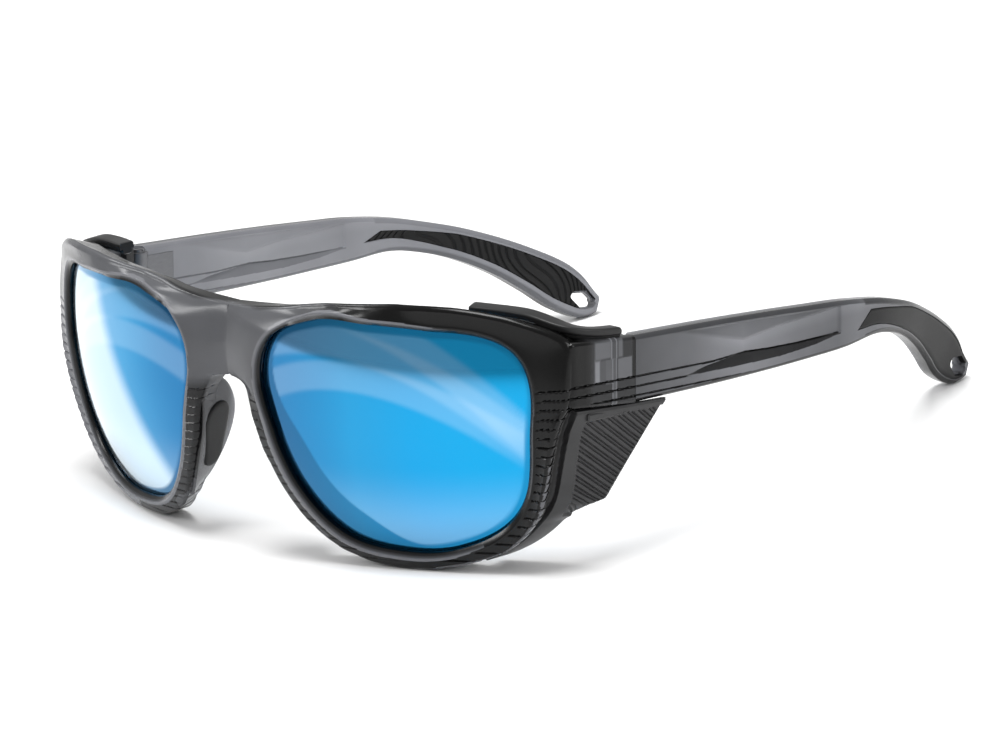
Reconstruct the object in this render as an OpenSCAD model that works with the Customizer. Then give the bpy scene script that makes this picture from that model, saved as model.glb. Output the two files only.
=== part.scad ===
// Wrap-around sports sunglasses with prescription lenses, side shields and folding temples.
// The front is drawn square to the face, then leaned so that the glasses rest on the bottoms
// of both rims and on both temple tips. +X is the wearer's left, -Y is ahead, +Z is up.

/* [Lens] */
// Distance from the middle of the face to a lens centre
eye_x = 36; // [34:0.5:38]
// Turn of each lens round the face, in degrees
wrap = 15.4; // [12:0.2:18]
// Radius of the lens's domed front
base_r = 72; // [68:1:84]
// Thickness of the lens
lens_t = 2.2; // [1.8:0.1:2.8]
// Depth of the bevel on the lens's edge
bevel_d = 0.6; // [0.4:0.1:0.9]
// Reach of the opening from the lens centre at three o'clock, towards the temple
reach_3 = 28.8; // [28:0.2:30]
// Reach of the opening at two o'clock
reach_2 = 31.6; // [31:0.2:32.6]
// Reach of the opening at one o'clock
reach_1 = 23.7; // [23:0.2:25]
// Reach of the opening at twelve o'clock, straight up
reach_12 = 21.5; // [20.5:0.2:22.5]
// Reach of the opening at eleven o'clock
reach_11 = 24.7; // [24:0.2:25.6]
// Reach of the opening at ten o'clock
reach_10 = 28.4; // [27.6:0.2:29]
// Reach of the opening at nine o'clock, towards the nose
reach_9 = 23.6; // [22.8:0.2:24.2]
// Reach of the opening at eight o'clock
reach_8 = 22; // [21.2:0.2:22.8]
// Reach of the opening at seven o'clock
reach_7 = 22; // [21.2:0.2:22.8]
// Reach of the opening at six o'clock, straight down
reach_6 = 21.6; // [20.8:0.2:22.4]
// Reach of the opening at five o'clock
reach_5 = 24.1; // [23.4:0.2:24.8]
// Reach of the opening at four o'clock
reach_4 = 28.1; // [27.4:0.2:28.8]

/* [Front] */
// Distance from a lens centre out to the outside of the temple
side_out = 33.6; // [33:0.1:34.6]
// Width of the rim beside and below the lens
rim_w = 3.5; // [3:0.1:4.2]
// Width of the rim beside the nose
nose_rim_w = 4.6; // [4.2:0.1:5]
// Width of the brow above the lens
brow_w = 4; // [3.4:0.1:4.8]
// Width of the rim at the outer top corner, before the brow line and the side trim it
corner_w = 12; // [11:0.2:13]
// Length of the end piece from its front corner to the seam
end_l = 16.7; // [16:0.1:17.4]
// Fall of the brow line towards the end piece, as a slope
brow_slope = 0.5; // [0.44:0.01:0.56]
// How far the rim stands ahead of the lens
lip = 1.9; // [1.6:0.1:2.4]
// How far the rim stands ahead of the lens beside the temple
side_lip = 3.2; // [2.8:0.1:3.6]
// How far the rim reaches behind the lens's front
rim_back = 3.6; // [3.2:0.1:4.2]
// Depth of the channel round the rim that the shield clips into
channel_d = 1.3; // [1:0.1:1.5]
// Height of the bridge's top edge above the lens centre
bridge_top = 21.2; // [20.4:0.2:22]
// Height of the bridge's underside above the lens centre
bridge_low = 8.4; // [7:0.2:10]
// Thickness of the bridge from front to back
bridge_t = 3.8; // [3.2:0.2:5]

/* [Nose] */
// Height of a pad inset
pad_h = 14; // [12.6:0.2:14.8]
// Width of a pad inset at its broad end
pad_w = 7; // [6:0.2:7.4]
// Thickness of a pad inset
pad_t = 1.3; // [1.1:0.1:1.5]
// Thickness of the moulded flange that carries the pad
flange_t = 2.4; // [2.2:0.1:2.8]

/* [Temple] */
// Angle by which a temple falls to the rear against the front, in degrees
temple_fall = 10.4; // [8:0.2:12]
// Distance of the seam behind the lens centre
seam_y = 34.1; // [33:0.2:36]
// Height of the seam's middle above the lens centre
seam_z = 7.3; // [6.5:0.1:8]
// Height of the temple at the seam
root_h = 12.3; // [11.6:0.1:13]
// Thickness of the temple at the seam
root_t = 4.2; // [3.9:0.1:4.6]
// Thickness of the temple behind the seam
arm_t = 3.8; // [3.4:0.1:4.4]
// Height of the temple's neck, just ahead of the grips
neck_h = 6.6; // [6:0.1:7.4]
// Height of the temple tip
tip_h = 10; // [9:0.1:10.6]
// Length of the temple from the seam to its tip
temple_l = 111; // [108:0.5:114]
// Length of the temple's straight part, before it bends
straight_l = 66; // [62:0.5:70]
// Inward curve of the temple tip
tip_in = 18; // [15:0.5:20]
// Drop of the temple tip
tip_drop = 18; // [16:0.5:19]
// Depth of the rubber grip let into the outside of the tip
grip_d = 1.1; // [0.8:0.1:1.3]
// Width of the clear border round a grip
grip_border = 1.1; // [0.8:0.1:1.5]
// Length of the lanyard eyelet
eyelet_l = 6.4; // [5:0.2:6.8]
// Height of the lanyard eyelet
eyelet_h = 3.2; // [2.6:0.1:3.6]

/* [Hinge] */
// Distance of the hinge axis from the outside of the temple
pivot_in = 4.4; // [4.2:0.1:4.8]
// Distance of the hinge axis ahead of the seam
pivot_ahead = 0.6; // [0.5:0.1:0.9]
// Radius of the hinge knuckles
knuckle_r = 1.9; // [1.7:0.05:2.1]
// Height of the middle knuckle
middle_h = 4.7; // [4:0.1:5.2]
// Height of the whole hinge
hinge_h = 10.6; // [10:0.1:11]
// Radius of the hinge screw
screw_r = 0.7; // [0.6:0.05:0.9]
// Radius of the screw's head
head_r = 1.25; // [1.1:0.05:1.4]
// Height of the screw's head
head_h = 0.6; // [0.5:0.05:0.7]
// Length of each hinge leaf
leaf_l = 8.5; // [7:0.1:9]
// Thickness of each hinge leaf
leaf_t = 1.5; // [1.2:0.1:1.5]

/* [Side shield] */
// Thickness of the shield's panel
shield_t = 1.5; // [1.2:0.1:1.8]
// Width of the strap over the end piece
strap_w = 3; // [2.6:0.2:3.6]
// Thickness of the strap
strap_t = 1.5; // [1.3:0.1:1.9]
// Reach of the shield behind the seam
shield_back = 8; // [6:0.5:9]
// Height of the shield's panel below the end piece
shield_h = 17; // [15:0.5:18]

/* [Hidden] */

fit = 0.05;         // running gap round a pin and beside a knuckle
seat_gap = 0.06;    // gap round a piece that is set into another
free_gap = 0.3;     // gap between pieces that only pass each other
steps = 72;         // points round a lens
far = 14;           // reach of a cutting tool beyond what it cuts

rim_reach = [reach_3, reach_2, reach_1, reach_12, reach_11, reach_10,
             reach_9, reach_8, reach_7, reach_6, reach_5, reach_4];
rim_width = [rim_w + 1.8, corner_w, brow_w + 0.7, brow_w - 0.5, brow_w - 1.5, nose_rim_w,
             nose_rim_w, nose_rim_w, nose_rim_w - 0.3, rim_w, rim_w + 0.4, rim_w];
// How far the rim's outer edge stands ahead of the lens's dome
rim_lip = [side_lip, side_lip - 0.2, side_lip - 0.4, lip - 0.7, lip - 3.1, lip - 1.3,
           lip, lip, lip, lip - 0.1, lip + 0.4, side_lip - 0.2];

side_x = eye_x + side_out;      // outside of a temple
end_top = root_h / 2 + 0.85;    // top of the end piece at its front corner
end_low = 1.25 - root_h / 2;    // underside of the end piece at its front corner
temple_low = -root_h / 2;

// Place on the clock face, as a smooth closed curve through twelve values
function hour(list, i) = list[(i % 12 + 12) % 12];
function round_clock(list, a) =
    let (i = floor(a / 30), t = a / 30 - i, p = hour(list, i), q = hour(list, i + 1))
    smooth(hour(list, i - 1), p, q, hour(list, i + 2), t);
// Smooth curve from b to c that heads for them from a and leaves towards d
function smooth(a, b, c, d, t) =
    b * (2 * t^3 - 3 * t^2 + 1) + c * (3 * t^2 - 2 * t^3)
    + (c - a) / 2 * (t^3 - 2 * t^2 + t) + (d - b) / 2 * (t^3 - t^2);

// Point in the lens's own frame: u outward, v up, s to the rear of the lens centre
function at_lens(u, v, s) = [eye_x + u * cos(wrap) - s * sin(wrap), u * sin(wrap) + s * cos(wrap), v];
function dome(u, v) = base_r - sqrt(base_r^2 - u^2 - v^2);
function on_dome(a, r, behind) =
    let (u = r * cos(a), v = r * sin(a)) at_lens(u, v, dome(u, v) + behind);
function opening(a) = round_clock(rim_reach, a);
// The brow line runs down to the end piece's top corner and trims the rim there
corner_u = side_out / cos(wrap) + 2.6;
corner_v = seam_z + end_top * cos(temple_fall) + end_l * sin(temple_fall);
function brow_line(a) = (corner_v + brow_slope * corner_u) / (sin(a) + brow_slope * cos(a));
function rim_out(a) = let (r = opening(a) + round_clock(rim_width, a))
    a > 0 && a < 90 ? min(r, brow_line(a)) : r;
function rim_ahead(a) = round_clock(rim_lip, a);
function ring(grow, behind) =
    [for (i = [0 : steps - 1]) let (a = i * 360 / steps) on_dome(a, opening(a) + grow, behind)];
nose_x = on_dome(180, rim_out(180), 0)[0];      // side of the rim next to the nose

function middle(points) = points * [for (p = points) 1] / len(points);

// Closed skin over rings of points that run anticlockwise as seen from before the first ring
module skin(rings) {
    n = len(rings[0]);
    m = len(rings);
    first = [for (k = [0 : 2]) middle([for (p = rings[0]) p[k]])];
    last = [for (k = [0 : 2]) middle([for (p = rings[m - 1]) p[k]])];
    faces = concat(
        [for (i = [0 : n - 1]) [n * m, (i + 1) % n, i]],
        [for (k = [0 : m - 2], i = [0 : n - 1]) [k * n + i, k * n + (i + 1) % n, (k + 1) * n + (i + 1) % n]],
        [for (k = [0 : m - 2], i = [0 : n - 1]) [k * n + i, (k + 1) * n + (i + 1) % n, (k + 1) * n + i]],
        [for (i = [0 : n - 1]) [n * m + 1, (m - 1) * n + i, (m - 1) * n + (i + 1) % n]]);
    polyhedron(concat([for (r = rings, p = r) p], [first, last]), faces);
}

// Fuses what it holds into one moulded skin
module moulded() resize([0, 0, 0]) union() children();

module rest() translate([0, rest_y, rest_z]) rotate([front_lean, 0, 0]) children();
module right() mirror([1, 0, 0]) children();
// Frame of a temple: x outward from its outside, y along it from the seam, z up the seam
module at_seam() translate([side_x, seam_y, seam_z]) rotate([-temple_fall, 0, 0]) children();
function seam_point(x, u, v) =
    [side_x + x, seam_y + u * cos(temple_fall) + v * sin(temple_fall),
     seam_z - u * sin(temple_fall) + v * cos(temple_fall)];
module at_pivot() at_seam() translate([-pivot_in, -pivot_ahead, 0]) children();

/* Front */
// The top of the brow falls to the rear by this much more than the channel, fading out at both ends
brow_fall = 0.9;
function brow_drop(a) = brow_fall * max(0, min(1, (a - 22) / 15, (158 - a) / 15));
// The channel behind the face starts close to it beside the temple, where the shield clips in
function channel_from(a) = 1.6 - (a < 12 || a > 290 ? 1 : 0.5) * rim_ahead(a);
// Section of the rim at an angle round the lens: lip, face, side with its channel, back, groove
function rim_section(a) = let (o = opening(a), r = rim_out(a), ahead = rim_ahead(a),
                               back = rim_out(a) - channel_d - brow_drop(a))
    [for (p = [
        [o, -seat_gap], [o, -0.5], [o + 0.8, -lip], [r - 0.6, -ahead], [r, 0.6 - ahead],
        [r - brow_drop(a), channel_from(a) - 0.2], [r - max(channel_d, brow_drop(a) + 0.3), channel_from(a)],
        [back, rim_back - 0.6], [back - 0.6, rim_back], [o + 0.6, rim_back], [o, lens_t + 0.6], [o, lens_t + seat_gap],
        [o + 0.3 + seat_gap, lens_t + seat_gap], [o + 0.3 + bevel_d + seat_gap, lens_t / 2],
        [o + 0.3 + seat_gap, -seat_gap]])
        on_dome(a, p[0], p[1])];
module rim() let (n = len(rim_section(0)), m = steps,
    points = [for (i = [0 : m - 1]) each rim_section(i * 360 / m)])
    polyhedron(points, [for (i = [0 : m - 1], k = [0 : n - 1])
        let (a = i * n + k, b = i * n + (k + 1) % n, c = (i + 1) % m * n + (k + 1) % n, d = (i + 1) % m * n + k)
        each [[a, d, c], [a, c, b]]]);

module lens() color("deepskyblue") rest() skin([
    [for (i = [0 : steps - 1]) on_dome(i * 360 / steps, 0.2, 0)],
    for (k = [0.3, 0.55, 0.8])
        [for (i = [0 : steps - 1]) let (a = i * 360 / steps) on_dome(a, k * opening(a), 0)],
    ring(0.3, 0),
    ring(0.3 + bevel_d, lens_t / 2),
    ring(0.3, lens_t),
    for (k = [0.8, 0.55, 0.3])
        [for (i = [0 : steps - 1]) let (a = i * 360 / steps) on_dome(a, k * opening(a), lens_t)],
    [for (i = [0 : steps - 1]) on_dome(i * 360 / steps, 0.2, lens_t)]]);

// Saddle between the rims, leaning back at its top and arched over the nose, with its top run
// out along both brows
bridge_x = nose_x + 1.4;
// Stations across the bridge: distance from the middle, underside
bridge_rows = [[0, bridge_low], [0.15, bridge_low - 0.1], [0.3, bridge_low - 0.4], [0.45, bridge_low - 0.9],
               [0.6, bridge_low - 1.6], [0.75, bridge_low - 2.5], [0.9, bridge_low - 3.5],
               [0.98, bridge_low + 7.6], [1.5, bridge_low + 11.2]];
module bridge() skin([for (i = [-8 : 8])
    let (out = sign(i) * bridge_rows[abs(i)][0], x = out * bridge_x, low = bridge_rows[abs(i)][1],
         top = bridge_top + 0.003 * x^2, t = abs(out) > 1 ? bridge_t - 2 : abs(out) > 0.95 ? bridge_t - 1.2 : bridge_t, c = 0.6,
         y_top = 1.2 + 0.016 * x^2, y_low = abs(out) > 0.95 ? 0.9 : -0.6 - 2.6 * sin(90 * min(1, 1.5 * abs(out))),
         y_mid = (y_top + y_low) / 2 - 0.2, m = (top + low) / 2)
    [[x, y_mid, m], [x, y_top, top - c], [x, y_top + c, top], [x, y_top + t - 1.5, top],
     [x, y_top + t, top - 1.5], [x, 1.6 + t, low + 1.8], [x, 1.6 + t - c, low + 0.5], [x, y_low + c, low],
     [x, y_low, low + c]]]);

// Block between the rim's corner and the seam, with softened edges
edge_r = 0.6;
module rounded(points) hull() for (p = points) translate(p) sphere(r = edge_r, $fn = 16);
module end_piece() {
    top = end_top - edge_r;
    low = end_low + edge_r;
    at_seam() difference() {
        rounded([
            for (x = [-root_t + edge_r, -edge_r]) each [
                [x, edge_r - end_l, top], [x, edge_r - end_l, low],
                [x, 1, root_h / 2 - edge_r], [x, 1, temple_low + edge_r + 0.3]]]);
        translate([-far, 0, -far]) cube(2 * far);
    }
    rounded([
        [side_x - 1.2, seam_y - 15.6, seam_z + 8.5], [side_x - 1, seam_y - 17, seam_z - 1.2],
        [side_x - 1.2, seam_y - 12, seam_z + 8], [side_x - 1.2, seam_y - 12.5, seam_z - 1.4],
        [side_x - 4.4, seam_y - 18.8, seam_z + 10.8], [side_x - 5.4, seam_y - 20.4, seam_z - 2],
        [side_x - 6.4, seam_y - 15.5, seam_z + 8.5], [side_x - 5.8, seam_y - 16, seam_z - 1]]);
}

// Ear-shaped flange that runs back beside the nose from the front edge of the rim, and carries the pad.
// Each row is the height of a slice and the place of its free rear edge, from the rim's side
flange_edge = [[6.6, -0.8, 1.5], [5.4, -0.3, 3.4], [3.9, 0.4, 5.1], [1.2, 1.5, 6.8], [-1.3, 2.4, 7.7], [-4, 3.3, 7.8],
               [-7.1, 4.8, 7.6], [-9.8, 6, 6.8], [-12.4, 7.2, 5.6], [-15.1, 8.4, 3.9], [-17.6, 10.3, 1.9]];
function nose_side(z) = nose_x - 0.7 + 0.0138 * (z - 8)^2;
module nose_flange() skin([for (e = flange_edge)
    let (x = nose_side(e[0]), edge = nose_x + e[1], y = -2.9 + 0.012 * max(0, -e[0] - 6)^2, t = flange_t)
    [[x, y, e[0]], [x + 1.1, y, e[0]], [edge + t, e[2] - t * 0.5, e[0]],
     [edge + t * 0.5, e[2], e[0]], [edge, e[2] - 0.4, e[0]]]]);

// Teardrop inset in the flange, broad end up
pad_turn = -8.5;
pad_lean = -21;
module at_pad() translate([nose_x + 3.2, 1.7, -5.7]) rotate([0, 0, pad_turn]) rotate([0, pad_lean - 90, 0])
    children();
module pad_shape(grow, tall) hull() {
    translate([pad_h / 2 - pad_w / 2, -0.3, -pad_t - grow]) cylinder(h = tall, r = pad_w / 2 + grow, $fn = 40);
    translate([pad_w * 0.36 - pad_h / 2, 0.3, -pad_t - grow]) cylinder(h = tall, r = pad_w * 0.36 + grow, $fn = 32);
}
module nose_pad() color("#2c2c2d") rest() at_pad() pad_shape(0, pad_t + 0.4);

module frame_front() color("#55565a") rest() moulded() difference() {
    union() {
        for (s = [0, 1]) mirror([s, 0, 0]) {
            rim();
            end_piece();
            nose_flange();
        }
        bridge();
    }
    for (s = [0, 1]) mirror([s, 0, 0]) {
        at_pad() pad_shape(seat_gap, 2 * pad_t + 1);
        at_seam() leaf_pocket(-1, hinge_h + 2 * seat_gap);
        at_pivot() cylinder(h = root_h + far, r = knuckle_r + 0.2, center = true, $fn = 40);
        translate([side_x, -far, -2 * far]) cube(4 * far);
    }
}

/* Hinge */
// Pocket for a leaf, open to the inside; way is -1 ahead of the seam and 1 behind it
module leaf_pocket(way, h) translate([-far - root_t + leaf_t + seat_gap, way * far / 2 - far / 2, -h / 2])
    translate([0, way < 0 ? far - leaf_l - seat_gap : 0, 0])
        cube([far, leaf_l + seat_gap, h]);

leaf_in = pivot_in - root_t;    // from the hinge axis out to the leaf's inner face
module hinge_front_leaf() color("silver") rest() at_pivot() {
    for (s = [-1, 1]) difference() {
        union() {
            translate([0, 0, s > 0 ? middle_h / 2 + fit : -hinge_h / 2])
                cylinder(h = hinge_h / 2 - middle_h / 2 - fit, r = knuckle_r, $fn = 48);
            translate([leaf_in, -leaf_l + pivot_ahead, s > 0 ? middle_h / 2 + fit : -hinge_h / 2])
                cube([leaf_t, leaf_l - pivot_ahead, hinge_h / 2 - middle_h / 2 - fit]);
        }
        cylinder(h = 2 * hinge_h, r = screw_r + fit, center = true, $fn = 48);
    }
    translate([leaf_in, -leaf_l + pivot_ahead, -hinge_h / 2])
        cube([leaf_t, leaf_l - knuckle_r - 0.4 - pivot_ahead, hinge_h]);
}

module hinge_temple_leaf() color("silver") rest() at_pivot() {
    difference() {
        union() {
            cylinder(h = middle_h, r = knuckle_r, center = true, $fn = 48);
            translate([leaf_in, 0, -middle_h / 2]) cube([leaf_t, leaf_l, middle_h]);
        }
        cylinder(h = 2 * hinge_h, r = screw_r + fit, center = true, $fn = 48);
    }
    translate([leaf_in, knuckle_r + 0.5, -hinge_h / 2 + 1])
        cube([leaf_t, leaf_l + pivot_ahead - knuckle_r - 0.5, hinge_h - 2]);
}

module hinge_screw() color("gainsboro") rest() at_pivot() difference() {
    union() {
        translate([0, 0, -hinge_h / 2]) cylinder(h = hinge_h, r = screw_r, $fn = 48);
        translate([0, 0, hinge_h / 2 + 0.02]) cylinder(h = head_h, r = head_r, $fn = 48);
        translate([0, 0, hinge_h / 2 - 0.5]) cylinder(h = 1, r = screw_r, $fn = 48);
    }
    translate([-head_r, -0.15, hinge_h / 2 + 0.3]) cube([2 * head_r, 0.3, 1]);
}

/* Temple */
// Stations of a temple: along it, up, inward, height, thickness
function along_bend(k) = straight_l + k * (temple_l - straight_l);
arm = [
    [0, 0.1, 0, root_h, root_t],
    [0.3 * straight_l, 0.2, 0, root_h - 0.5, arm_t + 0.2],
    [0.53 * straight_l, 0.3, 0.1, root_h - 1.3, arm_t],
    [0.71 * straight_l, 0.4, 0.2, root_h - 2.3, arm_t],
    [0.86 * straight_l, 0.5, 0.5, neck_h + 2.4, arm_t],
    [straight_l, 0.5, 1.6, neck_h + 0.5, arm_t],
    [along_bend(0.156), -0.03 * tip_drop, 0.19 * tip_in, neck_h - 0.1, arm_t],
    [along_bend(0.327), -0.14 * tip_drop, 0.35 * tip_in, neck_h + 0.1, arm_t],
    [along_bend(0.507), -0.32 * tip_drop, 0.55 * tip_in, neck_h + 1, arm_t],
    [along_bend(0.664), -0.53 * tip_drop, 0.72 * tip_in, tip_h - 1, arm_t],
    [along_bend(0.798), -0.74 * tip_drop, 0.86 * tip_in, tip_h, arm_t],
    [along_bend(0.91), -0.92 * tip_drop, 0.95 * tip_in, tip_h - 2, arm_t - 0.2],
    [temple_l, -tip_drop, tip_in, tip_h - 6, arm_t - 1]];
last = len(arm) - 1;
function row(i) = arm[min(max(i, 0), last)];
function station(t) = let (i = min(floor(t), last - 1))
    smooth(row(i - 1), row(i), row(i + 1), row(i + 2), t - i);
function arm_mid(t) = let (s = station(t)) [-s[2], s[0], s[1]];
function unit(v) = v / norm(v);
function heading(t) = t <= 0 ? [0, 1, 0] : unit(arm_mid(min(t + 0.1, last)) - arm_mid(min(t, last) - 0.1));
// Point on a temple at station t, w inward from its outside and h up from its middle
function on_arm(t, w, h) =
    let (d = heading(t), up = unit([0, -d[2], d[1]]), out = cross(d, up))
    arm_mid(t) - w * out + h * up;

// Section of a temple: a flat bar with bevelled edges
function arm_ring(t, b = 0.9) = let (s = station(t), h = s[3] / 2, w = s[4])
    [for (p = [[0, h - b], [b, h], [w - b, h], [w, h - b], [w, b - h], [w - b, -h], [b, -h], [0, b - h]])
        on_arm(t, p[0], p[1])];

// The glasses stand on the lowest points of the rims and of the temple tips, which sets the lean
function height(p, lean) = p[1] * sin(lean) + p[2] * cos(lean);
function depth(p, lean) = p[1] * cos(lean) - p[2] * sin(lean);
function lowest(points, lean) = let (heights = [for (p = points) height(p, lean)])
    points[search(min(heights), heights)[0]];
rim_points = [for (i = [0 : steps - 1]) each rim_section(i * 360 / steps)];
tip_points = [for (t = [8 : 0.25 : last], p = arm_ring(t)) seam_point(p[0], p[1] + seat_gap, p[2])];
lean_guess = 2.8;
rim_foot = lowest(rim_points, lean_guess);
tip_foot = lowest(tip_points, lean_guess);
front_lean = atan((rim_foot[2] - tip_foot[2]) / (tip_foot[1] - rim_foot[1]));
rest_z = -min([for (p = concat(rim_points, tip_points)) height(p, front_lean)]);
rest_y = -(min([for (p = rim_points) depth(p, front_lean)]) + max([for (p = tip_points) depth(p, front_lean)])) / 2;

// Where the grips start, how far their upper edge starts behind the lower, and where they end
grip_from = 4.3;
grip_slant = 0.47;
grip_to = last - 0.35;
grip_steps = 26;
// Band let into one face of a temple; face is 0 outside and 1 inside
module grip_band(face, gap, proud) skin([for (i = [0 : grip_steps])
    let (k = i / grip_steps,
         a = grip_from + (grip_to - grip_from) * k + (k == 0 ? gap / 4 : 0) - (k == 1 ? gap / 4 : 0),
         b = a + grip_slant * (1 - k), s = station(a), s2 = station(b),
         border = grip_border + 0.8 * face + 1.4 * max(0, 1 - 3 * k),
         low = (-s[3] / 2 + border) + gap, high = (s2[3] / 2 - border * 0.8) - gap,
         w0 = face == 0 ? -proud : s[4] - grip_d + gap, w1 = face == 0 ? grip_d - gap : s[4] + proud)
    [on_arm(b, w0, high), on_arm(b, w1, high), on_arm(a, w1, low), on_arm(a, w0, low)]]);

eyelet_at = 11.1;
module eyelet(grow) let (p = on_arm(eyelet_at, 0, 0), d = heading(eyelet_at))
    translate(p) rotate([atan2(d[2], d[1]), 0, atan2(-d[0], d[1])])
        hull() for (q = [[0, eyelet_l / 2 - 0.6], [0, 0.6 - eyelet_l / 2], [eyelet_h / 2 - 0.6, 0], [0.6 - eyelet_h / 2, 0]])
            translate([-far, q[1], q[0]]) rotate([0, 90, 0]) cylinder(h = 2 * far, r = 0.6 + grow, $fn = 20);

module temple() color("#6a6b6f") rest() moulded() at_seam() difference() {
    translate([0, seat_gap, 0]) skin([for (t = [0 : 0.25 : last]) arm_ring(t)]);
    grip_band(0, 0, far);
    grip_band(1, 0, far);
    eyelet(0);
    leaf_pocket(1, hinge_h - 2 + 2 * seat_gap);
    translate([-pivot_in, -pivot_ahead, 0])
        cylinder(h = root_h + far, r = knuckle_r + 0.2, center = true, $fn = 40);
}

module grip(face) color("#2b2b2c") rest() moulded() at_seam() difference() {
    grip_band(face, seat_gap, 0.05);
    eyelet(0.5);
}

/* Side shield */
// Middle of the strap's underside, from the middle of the seam
strap_way = [[-22.4, -16.5, 13.5], [-16.1, -14, 12.9], [-10.6, -13.3, 12.7], [-4.5, -11.6, 10.5],
             [-2.5, -7.4, 8.8], [-2.1, -1.1, 7.2]];
module shield_strap() skin([for (i = [0 : len(strap_way) - 1])
    let (n = len(strap_way) - 1, p = [side_x, seam_y, seam_z] + strap_way[i],
         d = strap_way[min(i + 1, n)] - strap_way[max(i - 1, 0)],
         side = unit(cross([d[0], d[1], 0], [0, 0, 1])), w = strap_w / 2, t = strap_t)
    [p + side * w, p + side * w + [0, 0, t], p - side * w + [0, 0, t], p - side * w]]);

// Panel of the shield, in slices that fan out from the rim's channel to the free rear edge:
// straight down to its rear corner, back to the heel, then along the rim as a narrow flange
shield_rows = 20;
flange_w = 5;           // how far the flange reaches behind the lens's front
flange_from = 0.2;      // how far behind the lens's front it starts
shield_low = -57;       // angle round the lens where the flange ends
shield_high = atan2(seam_point(0, 4 - end_l, end_low - 0.9)[2], side_out);
function shield_turn(q) = shield_high + (shield_low - shield_high) * q;
function on_rim(q, inset, behind) =
    let (a = shield_turn(q)) on_dome(a, rim_out(a) - inset, behind);
function flange_edge_at(q) = on_rim(q, -2.7 + 1.2 * (q - 0.6) / 0.4, flange_w);
function shield_rear(q) =
    let (top = seam_point(0.4, shield_back, temple_low - 2 * free_gap),
         corner = seam_point(-1.4, shield_back - 14.2, temple_low - shield_h),
         under = seam_point(-3, shield_back - 16, temple_low - shield_h - 1),
         heel = flange_edge_at(0.6))
    q < 0.4 ? top + (corner - top) * q / 0.4 :
    q < 0.45 ? corner + (under - corner) * (q - 0.4) / 0.05 :
    q < 0.6 ? under + (heel - under) * (q - 0.45) / 0.15 : flange_edge_at(q);
module shield_panel() skin([for (i = [0 : shield_rows])
    let (q = i / shield_rows, a = on_rim(q, 0, flange_from), b = shield_rear(q), t = shield_t,
         a_in = on_rim(q, channel_d - seat_gap, flange_from), in = [-t, 0, min(t, t * q)],
         m = (a + b) / 2 + [0.5 * (1 - q), 0, 0])
    [a, m, b, b + in, m + in, a_in]]);

// Hook down the inside of the end piece from u to u + w, with a sloping link up to the strap
hook_x = -root_t - free_gap - shield_t;
module hook(u, w, low, high) {
    translate([hook_x, u, low]) cube([shield_t, w, high - low]);
    hull() {
        translate([hook_x, u, high - 0.6]) cube([shield_t, w, 0.6]);
        translate([hook_x + shield_t + 1, u, high - 0.3]) cube([0.8, w, 1.1]);
    }
}

module side_shield() color("#343435") rest() moulded() {
    shield_strap();
    shield_panel();
    at_seam() {
        // Web down to the panel, and the hook of the strap's rear end
        shelf = temple_low - free_gap - shield_t;
        hook(-11.6, 2.8, shelf, end_top + free_gap + 0.3);
        hook(-5, 2, end_top - 3.5, end_top + free_gap);
        // Shelf under the end piece that joins the web to the panel
        translate([hook_x, -11.6, shelf]) cube([root_t + free_gap, 9, shield_t]);
    }
}

frame_front();
lens();  // lens_left
right() lens();  // lens_right
nose_pad();  // nose_pad_left
right() nose_pad();  // nose_pad_right
hinge_front_leaf();  // hinge_front_leaf_left
right() hinge_front_leaf();  // hinge_front_leaf_right
hinge_screw();  // hinge_screw_left
right() hinge_screw();  // hinge_screw_right
hinge_temple_leaf();  // hinge_temple_leaf_left
right() hinge_temple_leaf();  // hinge_temple_leaf_right
temple();  // temple_left
right() temple();  // temple_right
grip(0);  // grip_outer_left
right() grip(0);  // grip_outer_right
grip(1);  // grip_inner_left
right() grip(1);  // grip_inner_right
side_shield();  // side_shield_left
right() side_shield();  // side_shield_right
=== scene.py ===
import math

import bmesh
import bpy
import numpy as np
from mathutils import Matrix, Vector


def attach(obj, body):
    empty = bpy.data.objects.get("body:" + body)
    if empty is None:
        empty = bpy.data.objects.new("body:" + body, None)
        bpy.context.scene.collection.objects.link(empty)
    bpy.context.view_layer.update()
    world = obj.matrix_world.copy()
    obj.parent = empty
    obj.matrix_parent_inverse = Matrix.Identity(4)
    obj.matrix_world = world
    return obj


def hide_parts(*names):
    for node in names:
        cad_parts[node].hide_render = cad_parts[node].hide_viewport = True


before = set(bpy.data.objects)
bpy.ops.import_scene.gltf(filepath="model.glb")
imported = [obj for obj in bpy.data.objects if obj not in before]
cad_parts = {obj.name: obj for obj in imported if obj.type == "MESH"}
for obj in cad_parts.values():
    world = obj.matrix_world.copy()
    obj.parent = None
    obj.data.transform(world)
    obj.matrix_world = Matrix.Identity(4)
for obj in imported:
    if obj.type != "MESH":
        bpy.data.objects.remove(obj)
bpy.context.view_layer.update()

# Front: one injection-moulded piece of translucent smoke-grey nylon that carries both rims, the
# bridge and both end pieces. Its face follows the domes of the lenses, a bevel leads down to each
# lens, and fine level ribs are moulded round the lower two thirds of each rim.
DEG = math.pi / 180
MM = 0.001
LEAN, REST_Y, REST_Z = 2.93947 * DEG, -68.9723, 25.0816     # how the glasses stand on rims and tips
EYE_X, WRAP, BASE_R = 36.0, 15.4 * DEG, 72.0                # lens centre, wrap and base curve
LENS_T, BEVEL_D, SEAT = 2.2, 0.6, 0.06
SIDE_X, SEAM_Y, SEAM_Z, FALL = 69.6, 34.1, 7.3, 10.4 * DEG  # outside of the temples, seam, their fall
OPENING = [28.8, 31.6, 23.7, 21.5, 24.7, 28.4, 23.6, 22.0, 22.0, 21.6, 24.1, 28.1]
LIP, RIM_BACK = 1.9, 3.6                                    # reach of the rim ahead of and behind the dome
RIB_PITCH, RIB_DEPTH = 1.68, 0.4
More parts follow.
